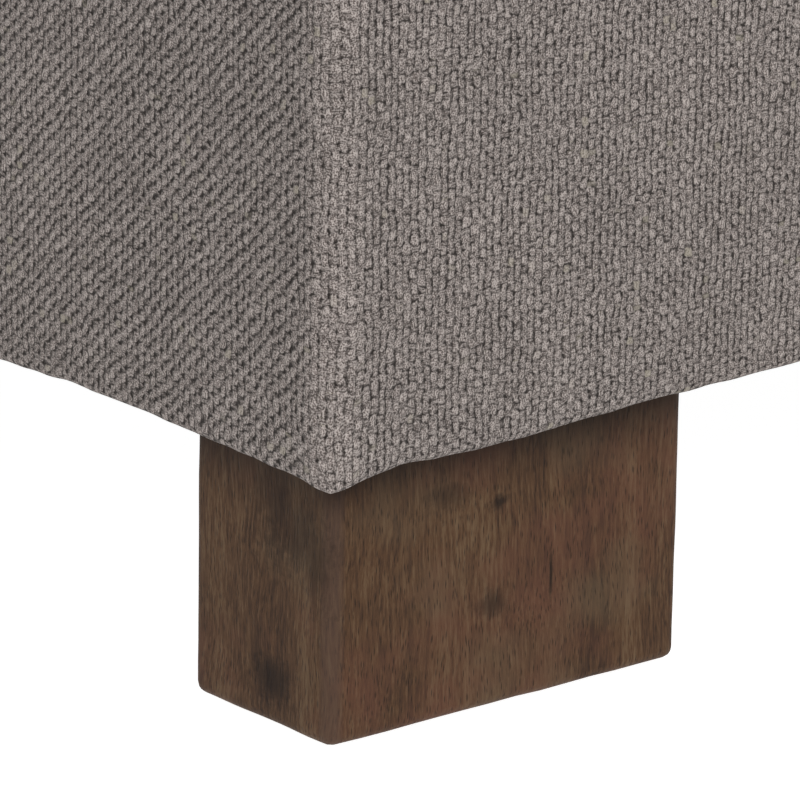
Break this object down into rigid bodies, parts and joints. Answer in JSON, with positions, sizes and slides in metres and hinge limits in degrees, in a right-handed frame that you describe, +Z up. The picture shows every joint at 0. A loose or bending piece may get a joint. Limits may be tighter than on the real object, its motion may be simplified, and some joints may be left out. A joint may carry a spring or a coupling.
{
  "type": "storage ottoman",
  "caption": "Rectangular upholstered storage ottoman on block wooden feet, with a padded lid hinged at the back and held by a pair of two-arm stays.",
  "frame": {"origin": "on the floor, under the middle of the body", "axes": "+Z up, +X along the length to the sitter's right as seen from the front, -Y towards the front; the lid's hinges are at the back, +Y"},
  "size_m": [1.066, 0.52, 0.4495],
  "materials": {
    "upholstery_fabric": "coarse plain weave in mixed grey-brown yarns",
    "walnut_stained_wood": "dark walnut stain, distressed, satin",
    "plywood": "sanded",
    "softwood": "sawn",
    "foam": "open-cell foam",
    "wadding": "polyester fibre",
    "lining_cloth": "dark woven lining",
    "dust_cloth": "non-woven",
    "zinc_plated_steel": "zinc plated",
    "stay_steel": "pressed, nickel plated",
    "damper_plastic": "moulded",
    "glide_nylon": "moulded",
    "bumper_rubber": "moulded"
  },
  "bodies": {
    "base": {"foot_front_left": "walnut_stained_wood", "foot_front_right": "walnut_stained_wood", "foot_back_left": "walnut_stained_wood", "foot_back_right": "walnut_stained_wood", "foot_glides": "glide_nylon", "foot_bolts": "zinc_plated_steel", "foot_tee_nuts": "zinc_plated_steel", "corner_blocks": "softwood", "front_panel": "plywood", "back_panel": "plywood", "left_panel": "plywood", "right_panel": "plywood", "corner_posts": "softwood", "long_cleats": "softwood", "side_cleats": "softwood", "middle_rail": "softwood", "bottom_board": "plywood", "frame_screws": "zinc_plated_steel", "front_padding": "foam", "back_padding": "foam", "left_padding": "foam", "right_padding": "foam", "body_cover": "upholstery_fabric", "well_lining": "lining_cloth", "well_floor_lining": "lining_cloth", "dust_cover": "dust_cloth", "lid_bumpers": "bumper_rubber", "hinge_left_box_leaf": "zinc_plated_steel", "hinge_left_pin": "zinc_plated_steel", "hinge_middle_box_leaf": "zinc_plated_steel", "hinge_middle_pin": "zinc_plated_steel", "hinge_right_box_leaf": "zinc_plated_steel", "hinge_right_pin": "zinc_plated_steel", "hinge_box_screws": "zinc_plated_steel", "stay_left_plate": "stay_steel", "stay_left_hub": "damper_plastic", "stay_right_plate": "stay_steel", "stay_right_hub": "damper_plastic", "stay_box_screws": "zinc_plated_steel"},
    "lid": {"lid_board": "plywood", "seat_foam": "foam", "seat_wadding": "wadding", "lid_cover": "upholstery_fabric", "lid_lining": "lining_cloth", "hinge_left_lid_leaf": "zinc_plated_steel", "hinge_middle_lid_leaf": "zinc_plated_steel", "hinge_right_lid_leaf": "zinc_plated_steel", "hinge_lid_screws": "zinc_plated_steel", "stay_left_lid_bracket": "stay_steel", "stay_right_lid_bracket": "stay_steel", "stay_lid_screws": "zinc_plated_steel", "stay_lid_pins": "zinc_plated_steel"},
    "left_lower_arm": {"stay_left_lower_arm": "stay_steel", "stay_left_pivots": "zinc_plated_steel"},
    "left_upper_arm": {"stay_left_upper_arm": "stay_steel"},
    "right_lower_arm": {"stay_right_lower_arm": "stay_steel", "stay_right_pivots": "zinc_plated_steel"},
    "right_upper_arm": {"stay_right_upper_arm": "stay_steel"}
  },
  "joints": [
    {"name": "lid_hinge", "type": "hinge", "parent": "base", "child": "lid", "pos_m": [0, 0.2576, 0.3668], "axis": [-1, 0, 0], "range_deg": [0, 90]},
    {"name": "left_stay_pivot", "type": "hinge", "parent": "base", "child": "left_lower_arm", "pos_m": [-0.49, 0.1076, 0.2718], "axis": [-1, 0, 0], "range_deg": [0, 90]},
    {"name": "left_stay_knee", "type": "hinge", "parent": "left_lower_arm", "child": "left_upper_arm", "pos_m": [-0.49, 0.0176, 0.2558], "axis": [-1, 0, 0], "range_deg": [-90, 0]},
    {"name": "right_stay_pivot", "type": "hinge", "parent": "base", "child": "right_lower_arm", "pos_m": [0.49, 0.1076, 0.2718], "axis": [-1, 0, 0], "range_deg": [0, 90]},
    {"name": "right_stay_knee", "type": "hinge", "parent": "right_lower_arm", "child": "right_upper_arm", "pos_m": [0.49, 0.0176, 0.2558], "axis": [-1, 0, 0], "range_deg": [-90, 0]}
  ],
  "couplings": [
    {"joint": "left_stay_pivot", "follows": "lid_hinge", "ratio": 1},
    {"joint": "left_stay_knee", "follows": "lid_hinge", "ratio": -1},
    {"joint": "right_stay_pivot", "follows": "lid_hinge", "ratio": 1},
    {"joint": "right_stay_knee", "follows": "lid_hinge", "ratio": -1}
  ]
}
